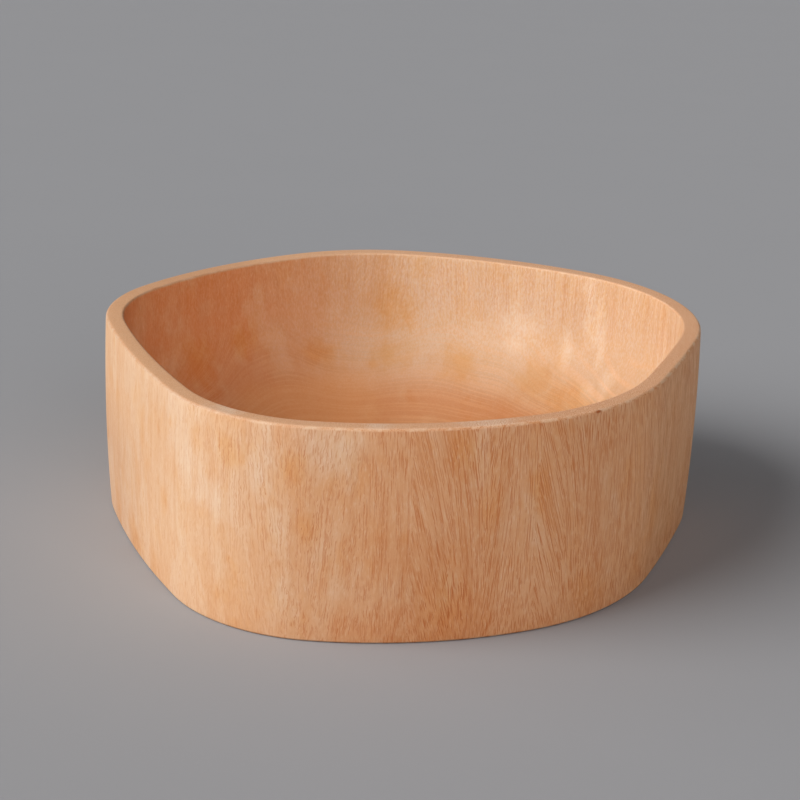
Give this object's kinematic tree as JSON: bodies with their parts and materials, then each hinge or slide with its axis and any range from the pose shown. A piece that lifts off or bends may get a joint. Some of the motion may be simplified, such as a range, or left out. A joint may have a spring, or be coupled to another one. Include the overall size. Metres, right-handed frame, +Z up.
{
  "type": "wooden bowl",
  "caption": "Wide hand-carved wooden bowl with upright bellied walls, an irregular rounded five-sided outline and a flat rim, for serving or display.",
  "frame": {"origin": "centre of the bowl's box on the flat base, at table height", "axes": "+Z up out of the mouth, +X to the right and +Y to the back as the picture shows the bowl"},
  "size_m": [0.307, 0.307, 0.102],
  "materials": {
    "wood": "satin, oiled, fine open pores with upright grain on the walls"
  },
  "bodies": {
    "root": {"bowl": "wood"}
  },
  "joints": []
}
